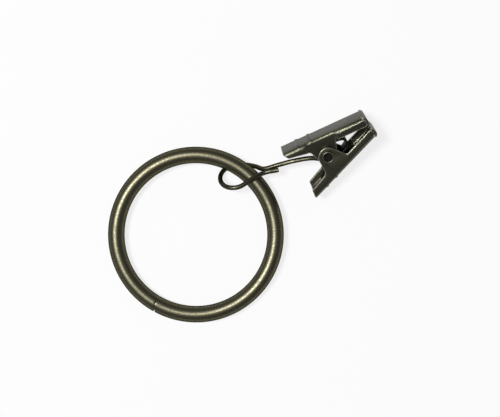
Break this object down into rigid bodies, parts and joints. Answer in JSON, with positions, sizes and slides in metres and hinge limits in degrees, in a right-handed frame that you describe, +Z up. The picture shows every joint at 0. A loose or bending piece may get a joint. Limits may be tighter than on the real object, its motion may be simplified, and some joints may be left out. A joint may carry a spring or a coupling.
{
  "type": "curtain ring with clip",
  "caption": "Round wire curtain ring with a bent wire eye and a sprung two-jaw clip that swings on a hollow rivet.",
  "frame": {"origin": "middle of the footprint, on the table that the assembly lies on", "axes": "+Z up from the table and nearly along the ring's axis; +X from the ring towards the clip, as in the picture's left to right; +Y up the picture"},
  "size_m": [0.0706, 0.0562, 0.014],
  "materials": {
    "ring_brass": "steel wire plated antique brass, satin, with dark mottling",
    "wire_brass": "steel wire plated antique brass, satin",
    "jaw_brass": "steel sheet plated antique brass, satin, brighter on its folds",
    "rivet_brass": "plated antique brass, satin",
    "spring_steel": "hardened strip, blackened"
  },
  "bodies": {
    "ring": {"ring": "ring_brass"},
    "eye": {"eye_wire": "wire_brass"},
    "upper": {"upper_jaw": "jaw_brass", "rivet": "rivet_brass", "leaf_spring": "spring_steel"},
    "lower": {"lower_jaw": "jaw_brass"}
  },
  "joints": [
    {"name": "eye_round_ring", "type": "hinge", "parent": "ring", "child": "eye", "pos_m": [-0.01191, -0.00474, 0.00294], "axis": [-0.0213, -0.028, 0.9994], "continuous": true},
    {"name": "clip_swing", "type": "hinge", "parent": "eye", "child": "upper", "pos_m": [0.02247, 0.01688, 0.00724], "axis": [0.0598, -0.35, 0.9348], "range_deg": [-15, 12]},
    {"name": "jaw_opening", "type": "hinge", "parent": "upper", "child": "lower", "pos_m": [0.02247, 0.01688, 0.00724], "axis": [-0.0598, 0.35, -0.9348], "range_deg": [0, 40], "stiffness_Nm_per_rad": 0.045, "springref_deg": -34.38, "deforming": ["leaf_spring"]}
  ]
}
